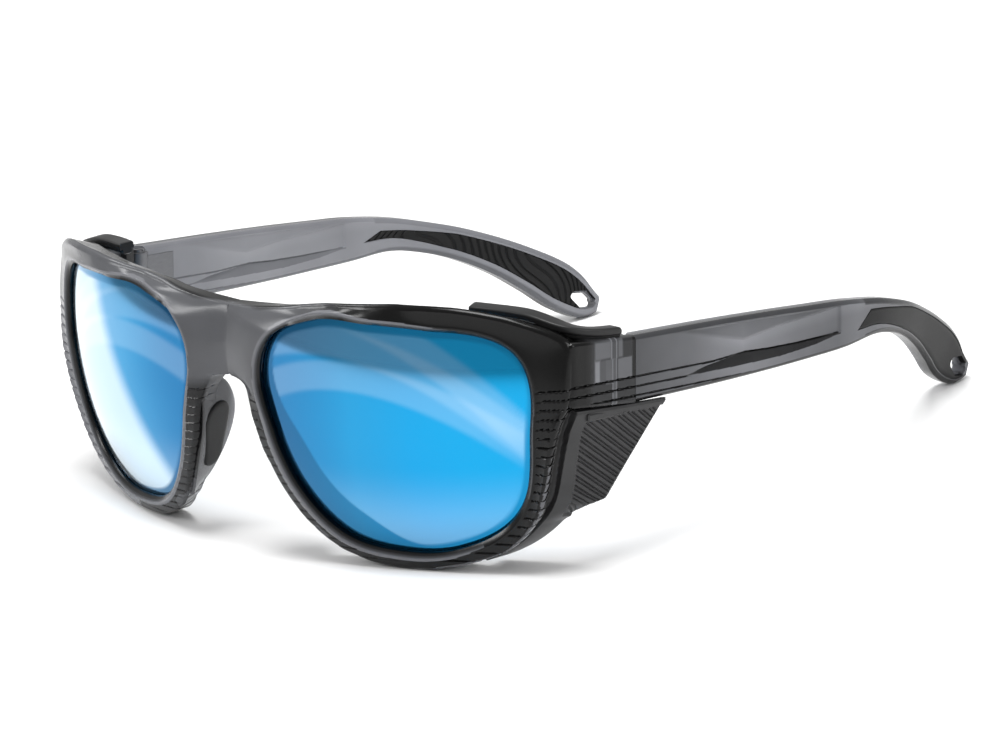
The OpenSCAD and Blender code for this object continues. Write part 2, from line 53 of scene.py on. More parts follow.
RIB_TOP, RIB_TOP_NOSE = 9.05, 5.3                           # where the ribs start beside temple and nose
BROW_FALL = 0.42                                            # slope of the brow's top to the rear
# Outer edge of one half of the front: clock angle, x, z; the run at x = 0 is where the halves meet
OUTLINE = [(160, 0, 8.4), (162.5, 2.4, 8.3), (165, 4.3, 7.9), (168, 5.5, 6.9), (171, 6.2, 5.3),
           (174.5, 6.9, 3.4), (178, 7.6, 1.3), (182, 8.2, -0.8), (188.6, 9.1, -4.1), (193, 10.1, -5.9),
           (203.6, 12.3, -10.4), (218.5, 15.6, -16.2), (230, 19.2, -19.9), (240.6, 23, -22.5),
           (255.3, 29, -24.6), (270, 35.2, -25.3), (284.4, 41.4, -25.2), (298.6, 47.8, -24),
           (307.8, 52.1, -22.7), (315.4, 56, -21.2), (324, 59.5, -18.3), (333.7, 62.9, -14.2),
           (345, 65.2, -8), (358, 67, -1), (364, 68.2, 3.2), (368, 69.3, 5.6), (374, 69.6, 9),
           (383, 69.6, 15.6), (386.5, 69.1, 17.6), (391, 65.8, 19.9), (398, 60.2, 22.7), (405, 55.5, 24.1),
           (412, 52, 24.8), (420, 48.2, 25.2), (435, 41, 25.4), (450, 34.6, 25), (465, 27.6, 24.3),
           (480, 21, 23.5), (488, 15, 22.6), (493, 8.5, 21.9), (496, 4, 21.4), (498, 0, 21.2)]
# How far the face stands ahead of the dome at the outer edge, and the back behind it
AHEAD = [(0, 3.2), (30, 3), (60, 2.8), (90, 1.2), (112, -0.9), (124, -1), (133, 0.1), (141, 1.2),
         (150, 1.4), (160, 0.6), (168, 1.1), (176, 1.9), (270, 1.8), (300, 2.3), (330, 3), (360, 3.2)]
BACK = [(0, 3.6), (110, 3.6), (125, 4.4), (138, 2.4), (150, 2.8), (160, 3.4), (176, 3.6), (360, 3.6)]


def rest(points):
    """From millimetres square to the face to metres at rest: leaned about X, then moved."""
    p = np.asarray(points, float)
    x, y, z = p[..., 0], p[..., 1], p[..., 2]
    c, s = math.cos(LEAN), math.sin(LEAN)
    return np.stack([x, y * c - z * s + REST_Y, y * s + z * c + REST_Z], -1) * MM


def cubic(t, b, c, d, e):
    """From c at t = 0 to d at t = 1, with slopes that come from b and e beside them."""
    return (c * (2 * t ** 3 - 3 * t ** 2 + 1) + d * (3 * t ** 2 - 2 * t ** 3)
            + (d - b) / 2 * (t ** 3 - 2 * t ** 2 + t) + (e - c) / 2 * (t ** 3 - t ** 2))


def round_clock(values, a):
    """Closed smooth curve through twelve values at the hours, read at angles a in degrees."""
    values = np.asarray(values, float)
    i = np.floor(a / 30).astype(int)
    return cubic(a / 30 - i, *(values[(i + k) % 12] for k in (-1, 0, 1, 2)))


def ramp(x, low, high):
    """0 below low, 1 above high, with a smooth step between."""
    t = np.clip((x - low) / (high - low), 0, 1)
    return t * t * (3 - 2 * t)


def opening(a):
    """Half-width of the lens opening at clock angles a: the twelve hours, a little fuller at the upper
    corner beside the nose and tighter at the upper corner beside the temple."""
    a = np.asarray(a, float) % 360
    fuller = 0.35 * np.exp(-((a - 139) / 9) ** 2)
    tighter = 0.35 * np.exp(-((a - 41) / 12) ** 2)
    return round_clock(OPENING, a) + fuller - tighter


def soften(values, width):
    """Weighted running mean of width samples to each side, with both end values kept."""
    w = np.exp(-0.5 * (np.arange(-2 * width, 2 * width + 1) / width) ** 2)
    n = 2 * width
    padded = np.concatenate([2 * values[0] - values[n:0:-1], values, 2 * values[-1] - values[-2:-n - 2:-1]])
    return np.convolve(padded, w / w.sum(), "valid")


def dome(u, v):
    """Depth of the spherical lens front behind its own centre."""
    return BASE_R - np.sqrt(BASE_R ** 2 - u ** 2 - v ** 2)


def on_dome(u, v, behind):
    """Point at u outward and v up in the lens's own frame, so far behind the domed front."""
    s = dome(u, v) + behind
    return np.stack(np.broadcast_arrays(EYE_X + u * math.cos(WRAP) - s * math.sin(WRAP),
                                        u * math.sin(WRAP) + s * math.cos(WRAP), v), -1)


def rim_edge(a):
    """Outer edge point (u, v) of the front at clock angles a, from the outline's x and z."""
    fine = np.arange(160, 498.01, 0.25)
    table = np.array(OUTLINE, float)
    x = soften(np.interp(fine, table[:, 0], table[:, 1]), 6)
    z = soften(np.interp(fine, table[:, 0], table[:, 2]), 6)
    (low, _, low_z), (high, _, high_z) = table[0], table[-1]
    turn = np.where(a % 360 < low, a % 360 + 360, a % 360)
    inside = turn > high
    down = (turn - high) / (low + 360 - high)
    x = np.where(inside, 0, np.interp(turn, fine, x))
    z = np.where(inside, high_z + (low_z - high_z) * down, np.interp(turn, fine, z))
    ahead = np.interp(a % 360, *np.array(AHEAD).T)
    u = (x - EYE_X) / math.cos(WRAP)
    for _ in range(12):
        u = (x - EYE_X + (dome(u, z) - ahead) * math.sin(WRAP)) / math.cos(WRAP)
    return u, z, ahead


def saw(down):
    """Moulded ribs: in each pitch the surface sinks slowly and comes back in a sharp step."""
    t = down / RIB_PITCH % 1
    return RIB_DEPTH * np.where(t < 0.16, 1 - t / 0.16, 0.3 * (t - 0.16) / 0.84)


def front_rings():
    """Rings of points across the rim at clock angles round one lens: seat, bevel, face, side, back."""
    a = np.concatenate([np.arange(18, 165, 1.5), np.arange(165, 378, 0.34)])
    o = opening(a)
    ui, vi = o * np.cos(a * DEG), o * np.sin(a * DEG)
    uo, vo, ahead = rim_edge(a)
    length = np.hypot(uo - ui, vo - vi)
    eu, ev = (uo - ui) / length, (vo - vi) / length
    back = np.interp(a % 360, *np.array(BACK).T)
    turn = np.where(a < 180, a, a - 360)
    middle = ramp(a, 136, 140) * (1 - ramp(a, 158, 163))            # the run that meets the other half
    channel = 1.3 * ramp(turn, -64, -58) * (1 - ramp(turn, 3, 7))  # where the shield clips round
    over_brow = ramp(turn, 19, 27) * (1 - ramp(turn, 128, 138))
    by_nose = 0.85 * ramp(a, 166, 172) * (1 - ramp(a, 234, 254))
    fall = BROW_FALL * (over_brow + by_nose)
    edge_r = 0.75 * (1 - middle)
    lip = LIP - 1.2 * ramp(a, 85, 108) * (1 - ramp(a, 128, 142))       # lower where the brow is narrow
    # Rows: outward from the opening, behind the dome, how deep the ribs are, and 1 where they cut inward
    rows = [(out, depth, 0, 0) for out, depth in (
        (0, RIM_BACK), (0, LENS_T + 0.6), (0, LENS_T + SEAT), (0.3 + SEAT, LENS_T + SEAT),
        (0.3 + BEVEL_D + SEAT, LENS_T / 2), (0.3 + SEAT, -SEAT), (0, -SEAT), (0, -0.45),
        (0.12, -np.minimum(0.75, lip)), (1.05, 0.14 - lip), (1.25, 0.02 - lip))]
    for f in np.linspace(0, 1, 20):
        out, depth = 1.4 + (length - edge_r - 1.4) * f, -(lip + (ahead - lip) * f ** 1.5)
        rows.append((out, depth, min(1, f * 6), 0))
    for f in np.linspace(0.2, 1, 5):
        q = f * math.pi / 2
        out, depth = length - edge_r * (1 - math.sin(q)), -ahead + edge_r * (1 - math.cos(q))
        rows.append((out, depth, 1, math.sin(q)))
    start, side_end = edge_r - ahead, 1.7 - ahead
    run = np.where(channel > 0.1, side_end, back - 0.4) - start
    for f in np.linspace(0.1, 1, 9):
        rows.append((length - fall * run * f, start + run * f, 1 - f ** 6, 1))
    floor_d = length - channel - fall * run
    rows += [(floor_d, np.where(channel > 0.1, side_end, back - 0.3), 0, 0), (floor_d, back - 0.3, 0, 0),
             (floor_d - 0.3, back, 0, 0), (0.5, RIM_BACK, 0, 0)]
    d, behind, ribbed, tilt = (np.array([row[k] + 0 * a for row in rows]).T for k in range(4))
    z = vi[:, None] + ev[:, None] * d
    rib_top = np.where(a > 270, RIB_TOP, RIB_TOP_NOSE)[:, None]
    low_run = 0.75 * ramp(a, 250, 262) * (1 - ramp(a, 280, 292))    # the ribs fade under the lens
    strength = (a > 166) * (1 - low_run) * (1 - 0.4 * (a < 255))    # and are finer beside the nose
    g = saw(rib_top - z) * (z < rib_top) * strength[:, None] * ribbed
    d = d - g * tilt
    p = on_dome(ui[:, None] + eu[:, None] * d, vi[:, None] + ev[:, None] * d, behind + g * (1 - tilt))
    p[..., 0] = np.maximum(p[..., 0], 0)
    p[..., 1] -= 0.205 * (np.sqrt(p[..., 0] ** 2 + 16) - p[..., 0])     # the bridge comes forward
    p[..., 1] = np.maximum(p[..., 1], 0.0513 * p[..., 2] - 4.2)         # foremost plane of the moulding
    return p


def grid_faces(m, n, around=True, closed=True):
    """Quads over an m by n grid; around joins the last ring to the first, closed joins each ring."""
    i, j = np.meshgrid(np.arange(m if around else m - 1), np.arange(n if closed else n - 1), indexing="ij")
    i2, j2 = (i + 1) % m, (j + 1) % n
    return np.stack([i * n + j, i2 * n + j, i2 * n + j2, i * n + j2], -1).reshape(-1, 4)


def make_mesh(name, parts):
    """One object from parts of (points, faces), each turned so that its faces point outwards by the
    sign of the volume they enclose, with double points merged."""
    bm = bmesh.new()
    for points, faces in parts:
        p = np.asarray(points, float).reshape(-1, 3)
        volume = 0.0
        for k in sorted({len(f) for f in faces}):
            f = np.array([list(g) for g in faces if len(g) == k])
            for c in range(1, k - 1):
                volume += np.einsum("ij,ij->", p[f[:, 0]], np.cross(p[f[:, c]], p[f[:, c + 1]]))
        part = bpy.data.meshes.new("part")
        part.from_pydata(p.tolist(), [], [list(map(int, f if volume > 0 else f[::-1])) for f in faces])
        bm.from_mesh(part)
        bpy.data.meshes.remove(part)
    bmesh.ops.remove_doubles(bm, verts=bm.verts, dist=2e-6)
    mesh = bpy.data.meshes.new(name)
    bm.to_mesh(mesh)
    bm.free()
    obj = bpy.data.objects.new(name, mesh)
    bpy.context.scene.collection.objects.link(obj)
    return obj


def skin(rings):
    """Points and faces of a closed skin over rings of points, with a fan over each end."""
    rings = np.asarray(rings, float)
    m, n = rings.shape[:2]
    points = np.concatenate([rings.reshape(-1, 3), rings[0].mean(0)[None], rings[-1].mean(0)[None]])
    j = np.arange(n)
    faces = [list(f) for f in grid_faces(m, n, around=False)]
    faces += [[m * n, k, (k + 1) % n] for k in j]
    faces += [[m * n + 1, (m - 1) * n + (k + 1) % n, (m - 1) * n + k] for k in j]
    return points, faces


def mirrored(parts):
    """The same parts on the wearer's right, with the faces turned over."""
    return [(np.asarray(p) * [-1, 1, 1], [list(f)[::-1] for f in faces]) for p, faces in parts]


def smooth_shade(obj, angle=30):
    """Smooth shading with sharp edges above an angle in degrees."""
    mesh = obj.data
    mesh.polygons.foreach_set("use_smooth", np.ones(len(mesh.polygons), bool))
    mesh.set_sharp_from_angle(angle=angle * DEG)


def cut(obj, operation, *tools):
    """Joins or cuts closed shells for good, and removes the tools."""
    for tool in tools:
        step = obj.modifiers.new("step", "BOOLEAN")
        step.operation, step.object, step.solver = operation, tool, "MANIFOLD"
        view = bpy.context.evaluated_depsgraph_get()
        mesh = bpy.data.meshes.new_from_object(obj.evaluated_get(view))
        obj.modifiers.clear()
        mesh.materials.clear()
        old, obj.data = obj.data, mesh
        bpy.data.meshes.remove(old)
        bpy.data.objects.remove(tool)
    obj.data.name = obj.name


def seam_point(x, u, v):
    """Temple frame to face frame: x outward from a temple's outside, u to the rear, v up the seam."""
    x, u, v = np.broadcast_arrays(np.asarray(x, float), u, v)
    return np.stack([SIDE_X + x, SEAM_Y + u * math.cos(FALL) + v * math.sin(FALL),
                     SEAM_Z - u * math.sin(FALL) + v * math.cos(FALL)], -1)


def seam_uv(p):
    """The other way round: how far rearward and up from the seam points of the face frame lie."""
    y, z = p[..., 1] - SEAM_Y, p[..., 2] - SEAM_Z
    return y * math.cos(FALL) - z * math.sin(FALL), y * math.sin(FALL) + z * math.cos(FALL)


def lens_clock(p):
    """Distance outward across the nearer lens and clock angle round its centre, taken at the mean
    depth of the rim, 4 mm behind the dome's top."""
    u = (np.abs(p[:, 0]) - EYE_X + 4 * math.sin(WRAP)) / math.cos(WRAP)
    return u, np.degrees(np.arctan2(p[:, 2], u)) % 360


GROOVES = (-1.2, -3.0, -4.7)    # heights of the three grooves along the sides


def groove(distance, width, depth):
    """Round-bottomed line cut: deepest where distance is 0, gone at half its width."""
    return depth * np.clip(1 - (2 * distance / width) ** 2, 0, 1)


def end_piece_rings():
    """Rounded bar from the front's corner to the seam, with three level grooves along its outside."""
    rings = []
    for u in np.concatenate([[-16.5, -16.2, -15.8, -15], np.arange(-14.5, -0.05, 0.2), [-0.1, 0]]):
        shrink = np.interp(u, [-16.5, -16.2, -15.8, -15, -0.1, 0], [0.5, 0.25, 0.05, 0, 0, 0.08])
        gusset = np.interp(u, [-16.5, -15, -13.5, -11.5, -10, -9], [5.4, 4.4, 3, 1.2, 0.3, 0])
        top = 6.15 - 0.85 * u / 16.7 - shrink
        low = -6.15 - 1.25 * u / 16.7 + shrink
        x_in = -4.2 - gusset + shrink
        v = np.linspace(low + 0.6, top - 0.6, 62)
        sunk = sum(groove(v - g, 0.42, 0.3) for g in GROOVES) * ramp(v, low + 0.6, low + 0.9)
        ring = [(-0.55 - shrink, low + 0.02), (-0.2 - shrink, low + 0.2), *zip(-shrink - sunk, v),
                (-0.2 - shrink, top - 0.2), (-0.6 - shrink, top), (x_in + 0.6, top), (x_in + 0.2, top - 0.2),
                (x_in, top - 0.6), (x_in, low + 0.6), (x_in + 0.2, low + 0.2), (x_in + 0.6, low)]
        ring = np.array(ring)
        rings.append(seam_point(ring[:, 0], u, ring[:, 1]))
    return np.array(rings)


# Rows of the nose flange from its top: height, reach of the free edge beside and behind the rim's side
FLANGE = [(6.6, -0.8, 1.5), (5.4, -0.3, 3.4), (3.9, 0.4, 5.1), (1.2, 1.5, 6.8), (-1.3, 2.4, 7.7),
          (-4, 3.3, 7.8), (-7.1, 4.8, 7.6), (-9.8, 6, 6.8), (-12.4, 7.2, 5.6), (-15.1, 8.4, 3.9),
          (-17.6, 10.3, 1.9)]
NOSE_X, FLANGE_T = 7.29, 2.3


def flange_rings():
    """Ear-shaped blade: in each level row a nearly flat outer face, a round free edge and an inner face."""
    table = np.array(FLANGE)[::-1]
    z = np.linspace(table[0, 0], table[-1, 0], 60)
    edge = (soften(np.interp(z, table[:, 0], table[:, 1]), 2) + NOSE_X)[:, None]
    rear = soften(np.interp(z, table[:, 0], table[:, 2]), 2)[:, None]
    z = z[:, None]
    x = NOSE_X - 0.7 + 0.0138 * (z - 8) ** 2
    y = -2.9 + 0.012 * np.maximum(0, -z - 6) ** 2
    r = FLANGE_T / 2
    f = np.linspace(0, 1, 12)[None, :]
    q = np.linspace(160, 15, 9)[None, :] * DEG
    across = np.concatenate([x + (edge - x) * f, edge + r + r * np.cos(q),
                             (edge + FLANGE_T) + (x + 1.1 - edge - FLANGE_T) * f], 1)
    deep = np.concatenate([y + (rear - r - y) * f, (rear - r) + r * np.sin(q),
                           (rear - r) + (y - rear + r) * f], 1)
    return np.stack([across, deep, z + 0 * across], -1)


def srgb(code):
    """Linear colour from an sRGB hex code."""
    values = [int(code[k:k + 2], 16) / 255 for k in (1, 3, 5)]
    return [v / 12.92 if v <= 0.04045 else ((v + 0.055) / 1.055) ** 2.4 for v in values] + [1]


def node(tree, kind, links=(), **settings):
    """One shader node with its settings; links sets inputs by name or number, to a value or a socket."""
    made = tree.nodes.new("ShaderNode" + kind)
    for key, value in settings.items():
        setattr(made, key, value)
    for key, value in dict(links).items():
        if isinstance(value, bpy.types.NodeSocket):
            tree.links.new(value, made.inputs[key])
        else:
            made.inputs[key].default_value = value
    return made


def blend_stops(tree, factor, stops):
    """Colour ramp through (place, hex) stops."""
    made = node(tree, "ValToRGB", {0: factor})
    while len(made.color_ramp.elements) < len(stops):
        made.color_ramp.elements.new(0.5)
    for element, (place, code) in zip(made.color_ramp.elements, stops):
        element.position, element.color = place, srgb(code)
    return made.outputs[0]


def spread(tree, value, low, high):
    """A 0 to 1 value spread over low to high."""
    return node(tree, "MapRange", {0: value, 3: low, 4: high}).outputs[0]


def noise(tree, scale, detail):
    """Noise over the object's own place, in waves a metre."""
    where = node(tree, "TexCoord").outputs["Object"]
    return node(tree, "TexNoise", {"Vector": where, "Scale": scale, "Detail": detail}).outputs[0]


def painted(tree, key):
    """Value that paint() wrote under this key."""
    return node(tree, "Attribute", attribute_name=key).outputs["Fac"]


def new_finish(name, **sockets):
    """Material with one Principled shader whose constant sockets are set directly."""
    material = bpy.data.materials.new(name)
    material.use_nodes = True
    tree = material.node_tree
    tree.nodes.clear()
    shader = node(tree, "BsdfPrincipled", {key.replace("_", " "): value for key, value in sockets.items()})
    node(tree, "OutputMaterial", {"Surface": shader.outputs[0]})
    return material, tree, shader


# Translucent smoke-grey nylon, injection moulded and polished: it lets some light through, reads
# mid grey where the wall is thin and almost black where it is thick, and has a soft clear gloss.
# The painted tone it reads holds painted light and shade as well as the wall's thickness.
smoke_nylon, tree, shader = new_finish("smoke_grey_moulded_nylon", IOR=1.53, Specular_IOR_Level=0.17,
                                       Transmission_Weight=0.14)
cloud, fine = noise(tree, 90, 2), noise(tree, 1400, 3)      # 11 mm clouds and 0.7 mm orange peel
thick = {0: painted(tree, "thickness"), 1: spread(tree, cloud, -0.04, 0.04)}
mixed = node(tree, "Math", thick, operation="ADD").outputs[0]
tones = [(0, "#b0b1b5"), (0.25, "#828388"), (0.5, "#4c4d50"), (0.75, "#1d1d1e"), (1, "#030303")]
tree.links.new(blend_stops(tree, mixed, tones), shader.inputs["Base Color"])
tree.links.new(spread(tree, fine, 0.16, 0.26), shader.inputs["Roughness"])
tree.links.new(node(tree, "Bump", {"Height": fine, "Strength": 0.05, "Distance": 0.00003}).outputs[0],
               shader.inputs["Normal"])


def paint(obj, key, values):
    """Writes one value a point for a material to read, such as how thick and dark the plastic is, with
    painted light and shade in it.
    """
    layer = obj.data.attributes.new(key, "FLOAT", "POINT")
    layer.data.foreach_set("value", np.asarray(values, np.float32))


def points_of(obj):
    """All mesh points in millimetres, square to the face again."""
    p = np.zeros(len(obj.data.vertices) * 3)
    obj.data.vertices.foreach_get("co", p)
    p = p.reshape(-1, 3) / MM - [0, REST_Y, REST_Z]
    c, s = math.cos(LEAN), math.sin(LEAN)
    return np.stack([p[:, 0], p[:, 1] * c + p[:, 2] * s, -p[:, 1] * s + p[:, 2] * c], -1)


half = rest(front_rings())
m, n = half.shape[:2]
faces = grid_faces(m, n)
at_middle = (half.reshape(-1, 3)[:, 0] < 1e-9)[faces].all(1)
left = [(half, faces[~at_middle].tolist())]
front = make_mesh("front_moulding", left + mirrored(left))
bm = bmesh.new()
bm.from_mesh(front.data)
bmesh.ops.recalc_face_normals(bm, faces=bm.faces)
bm.to_mesh(front.data)
bm.free()
ends, flange = skin(rest(end_piece_rings())), skin(rest(flange_rings()))
tools = []
for parts in ([ends], mirrored([ends]), [flange], mirrored([flange])):
    tools.append(make_mesh("tool", parts))
cut(front, "UNION", *tools)


def prism(outline, low, high, place):
    """Closed prism: an outline of (a, b) pairs swept from low to high, each point set by place."""
    outline = np.asarray(outline, float)
    rings = [place(np.column_stack([outline, np.full(len(outline), c)])) for c in (low, high)]
    return skin(rest(np.array(rings)))


def hull(count, radii, *centres):
    """Outline round circles: for each direction, the circle that reaches furthest that way."""
    q = np.arange(count) * 2 * np.pi / count
    way = np.stack([np.cos(q), np.sin(q)], 1)
    centres, radii = np.array(centres), np.array(radii)
    best = np.argmax(way @ centres.T + radii, 1)
    return centres[best] + way * radii[best][:, None]


def box_outline(x0, x1, y0, y1):
    """Rectangle outline."""
    return np.array([(x0, y0), (x1, y0), (x1, y1), (x0, y1)], float)


def by_seam(p):
    """From (x outward, u rearward, v up) at the seam to the face frame."""
    return seam_point(p[:, 0], p[:, 1], p[:, 2])


PAD_H, PAD_W, PAD_T, PAD_TURN, PAD_LEAN = 14, 7, 1.3, -8.5 * DEG, -21 * DEG


def teardrop(grow):
    """Outline of the pad: a large circle and a small one."""
    return hull(72, [PAD_W / 2 + grow, PAD_W * 0.36 + grow],
                (PAD_H / 2 - PAD_W / 2, -0.3), (PAD_W * 0.36 - PAD_H / 2, 0.3))


def by_pad(p):
    """From the pad's own frame, length, width and depth, to the face frame."""
    lean, turn = -90 * DEG + PAD_LEAN, PAD_TURN
    x = p[:, 0] * math.cos(lean) + p[:, 2] * math.sin(lean)
    z = -p[:, 0] * math.sin(lean) + p[:, 2] * math.cos(lean)
    y = p[:, 1]
    return np.stack([NOSE_X + 3.2 + x * math.cos(turn) - y * math.sin(turn),
                     1.7 + x * math.sin(turn) + y * math.cos(turn), -5.7 + z], -1)


PIVOT = (-4.4, -0.6)        # hinge axis: inward from the temple's outside, ahead of the seam
bore = prism(hull(48, [2.1], PIVOT), -20, 20, by_seam)
front_pocket = prism(box_outline(-16, -2.64, -8.56, 0.5), -5.36, 5.36, by_seam)
pad_hole = prism(teardrop(SEAT), -PAD_T - SEAT, 3, by_pad)
for hole in (front_pocket, bore, pad_hole):
    cut(front, "DIFFERENCE", make_mesh("tool", [hole]), make_mesh("tool", mirrored([hole])))
smooth_shade(front, 28)
p = points_of(front)
x, y, z = np.abs(p[:, 0]), p[:, 1], p[:, 2]
u_seam, v_seam = seam_uv(p)
uu, angle = lens_clock(p)
reach = np.hypot(uu, z) - opening(angle)            # outward from the edge of the lens opening
behind = y - on_dome(uu, z, 0)[:, 1]                # behind the dome
far_side = ramp(-p[:, 0], 2, 14)                    # 1 on the wearer's right, which is painted paler as painted light
on_side = u_seam > -15.8                            # the end piece
# Darker out towards the end pieces, where the plastic is thick, and painted paler over the far side as
# painted light
tone = 0.46 + 0.54 * ramp(x, 15, 42) * (1 - far_side)
# Ribs, painted paler on the far side as painted light, and a painted highlight along the serrated corner
# outside them
rib_top = np.where((angle > 270) | (angle < 90), RIB_TOP, RIB_TOP_NOSE)
ribs = ramp(rib_top - z, -2.5, 1.5) * ((angle > 150) | (angle < 20)) * (reach > 1.3)
outside = (angle > 275) | (angle < 20)
rib_tone = np.where(outside, 0.93 - 0.6 * far_side, 0.88 - 0.14 * far_side)
tone = tone + (rib_tone - tone) * ribs
uo, vo, crest = rim_edge(angle)
corner = np.hypot(uo, vo) - opening(angle) - reach < 0.5
tone = np.where(corner & outside & (z < RIB_TOP) & ~on_side & (far_side < 0.5), 0.42, tone)
# Painted shade over the top of the brow behind its crest, the bevel round the lens, and the wall inside it
# painted black as painted shade in the lens's groove
tone = tone + 0.3 * ramp(behind + crest, 0.5, 1) * (z > 12) * (x < 60) * (reach > 2)
beside = ramp(x, 46, 56) * (1 - far_side)
bevel = (reach < 1.5 - 0.6 * beside) & (reach > 0.42) & (behind < 0)
tone = np.where(bevel, 0.34 + 0.16 * beside + 0.5 * ramp(z, 2, 14) * beside, tone)
tone = np.where((reach < 0.42) & (behind > -1.2), 1, tone)
tone = np.where(on_side, 1 - 0.3 * ramp(u_seam, -13, -10.8), tone)
# The far end piece painted paler as painted light
tone = np.where(on_side & (far_side > 0.5), 0.5, tone)
# Painted light and shade of the hinge seen through the side of the end piece: u from, u to, v from, v to,
# tone, softness
for u0, u1, v0, v1, dark, soft in (
        (-10.4, -6.3, 3, 6.3, 0.42, 0.6), (-10.4, -9, -1.2, 2.9, 0.28, 0.7),
        (-9.1, -7.1, -1.2, 2.8, 0.5, 0.3), (-7.6, -5.4, -1.6, 2.8, 0.47, 0.2),
        (-6.3, -4.7, 2.8, 6.5, 0.3, 0.2), (-6, -5, 2.8, 6.5, 0.55, 0.2),
        (-6, -4.75, -6, 2.8, 0.34, 0.2), (-5.75, -5.05, -6, 2.8, 0.5, 0.2),
        (-4.5, -3.3, 2.9, 6.2, 0.44, 0.4), (-4.55, -0.95, -1.2, 2.7, 0.42, 0.2),
        (-0.85, 0.3, -1.3, 6, 0.95, 0.1)):
    inside = np.minimum(np.minimum(u_seam - u0, u1 - u_seam), np.minimum(v_seam - v0, v1 - v_seam))
    share = ramp(inside, -soft / 2, soft / 2) * (on_side & (x > SIDE_X - 1)) * (1 - 0.6 * far_side)
    tone = tone * (1 - share) + dark * share
# Painted shade: the grooves along the end piece painted black
tone = np.where(on_side & (np.abs(v_seam[:, None] - GROOVES).min(1) < 0.15), 1, tone)
on_flange = (x < 21) & (y > -2.2) & (z < 7) & (reach > 2.2) & (u_seam < -20)
tone = np.where(on_flange, 0.52 - 0.27 * ramp(y, 4.5, 7.5), tone)
paint(front, "thickness", tone)
front.data.materials.append(smoke_nylon)
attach(front, "front")
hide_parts("frame_front")

# Lenses: bevelled discs of polycarbonate ground to prescription, with a blue mirror coating on the
# front. Each sits in the groove of its rim, and its thick ground edge shows as a darker border.
def lens_rings():
    """Domed disc: rings at shares of the opening on the front, the bevelled edge, then the back."""
    a = np.arange(0, 360, 1.25)
    o = opening(a)
    c, s = np.cos(a * DEG), np.sin(a * DEG)
    shares = np.concatenate([[0.004], np.linspace(0.02, 0.985, 62)])
    rings = [on_dome(k * o * c, k * o * s, 0 * a) for k in shares]
    edge = [(0, 0), (0.25, 0), (0.3, 0.05), (0.3 + BEVEL_D, LENS_T / 2), (0.3, LENS_T - 0.05),
            (0.25, LENS_T)]
    rings += [on_dome((o + d) * c, (o + d) * s, 0 * a + b) for d, b in edge]
    rings += [on_dome(k * o * c, k * o * s, 0 * a + LENS_T) for k in shares[::-8]]
    return np.array(rings)


def for_side(side, parts):
    """Parts drawn on the wearer's left, as they are or mirrored."""
    return parts if side == "left" else mirrored(parts)


# Blue mirror coating on polycarbonate: thin metal oxide layers, smooth as glass, that turn what they
# reflect cyan to deep blue. Its pale arcs, paler lower part and glare are painted reflections.
mirror, tree, shader = new_finish("blue_mirror_coated_polycarbonate", IOR=1.58, Metallic=0.95,
                                  Roughness=0.07, Coat_Weight=0.2, Coat_Roughness=0.03)
drift = spread(tree, noise(tree, 45, 1), -0.12, 0.12)       # 22 mm drift
place = node(tree, "Math", {0: painted(tree, "across"), 1: drift}, operation="ADD").outputs[0]
clear = blend_stops(tree, place, [(0, "#1f6ca0"), (0.35, "#1f8cc0"), (0.7, "#0f93cb"), (1, "#0798cf")])
ground = blend_stops(tree, place, [(0, "#0c5482"), (0.35, "#16729f"), (0.7, "#0a7fb3"), (1, "#0480b2")])
# Painted reflection: the coating mixed towards pale blue where it is painted
sheen = {0: painted(tree, "painted_reflection"), 6: clear, 7: srgb("#d3e6f2")}
clear = node(tree, "Mix", sheen, data_type="RGBA").outputs[2]
edge = {0: painted(tree, "border"), 6: clear, 7: ground}
mixed = node(tree, "Mix", edge, data_type="RGBA").outputs[2]
tree.links.new(mixed, shader.inputs["Base Color"])

for side in ("left", "right"):
    lens = make_mesh("mirror_lens_" + side, for_side(side, [skin(rest(lens_rings()))]))
    smooth_shade(lens, 35)
    p = points_of(lens)
    uu, angle = lens_clock(p)
    from_edge = opening(angle) - np.hypot(uu, p[:, 2])
    border_w = 1.5 + 6.2 * ramp(np.cos((angle - 214) * DEG), 0.3, 1) * (side == "left")
    # Painted reflections: three pale arcs, paler towards the bottom, and a glare over the right lens
    reflection_arcs = [np.abs(np.hypot(uu + 6 + k * 5, p[:, 2] + 34 - k * 3) - 46 - 3 * k) for k in range(3)]
    reflection_arcs = sum(0.12 * ramp(3.2 - arc, 0, 1.2) for arc in reflection_arcs) * ramp(p[:, 2], -12, 4)
    glare = 0.72 * ramp(uu + 0.6 * (20 - p[:, 2]) - 7, -3, 4) if side == "right" else 0
    paint(lens, "border", ramp(border_w - from_edge, -0.3, 0.3))
    paint(lens, "across", ramp(uu, -30, 30))
    paint(lens, "painted_reflection", np.clip(reflection_arcs + 0.22 * ramp(-p[:, 2], 4, 22) + glare, 0, 1))
    lens.data.materials.append(mirror)
    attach(lens, "front")
    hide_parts("lens_" + side)

# Nose pads: teardrop insets of soft rubber, moulded and pressed into the flanges beside the nose.
rings = []
for grow, depth in [(-0.05, -PAD_T), (0, -PAD_T + 0.1), (0, 0.1), (-0.08, 0.26), (-0.3, 0.37), (-0.7, 0.42),
                    (-1.2, 0.44)]:
    line = teardrop(grow)
    rings.append(by_pad(np.column_stack([line, np.full(len(line), depth)])))
pad_skin = skin(rest(np.array(rings)))

# Soft rubber: dark, matt, with the fine even grain of a spark-eroded mould.
soft_rubber, tree, shader = new_finish("moulded_soft_rubber", IOR=1.5, Specular_IOR_Level=0.2)


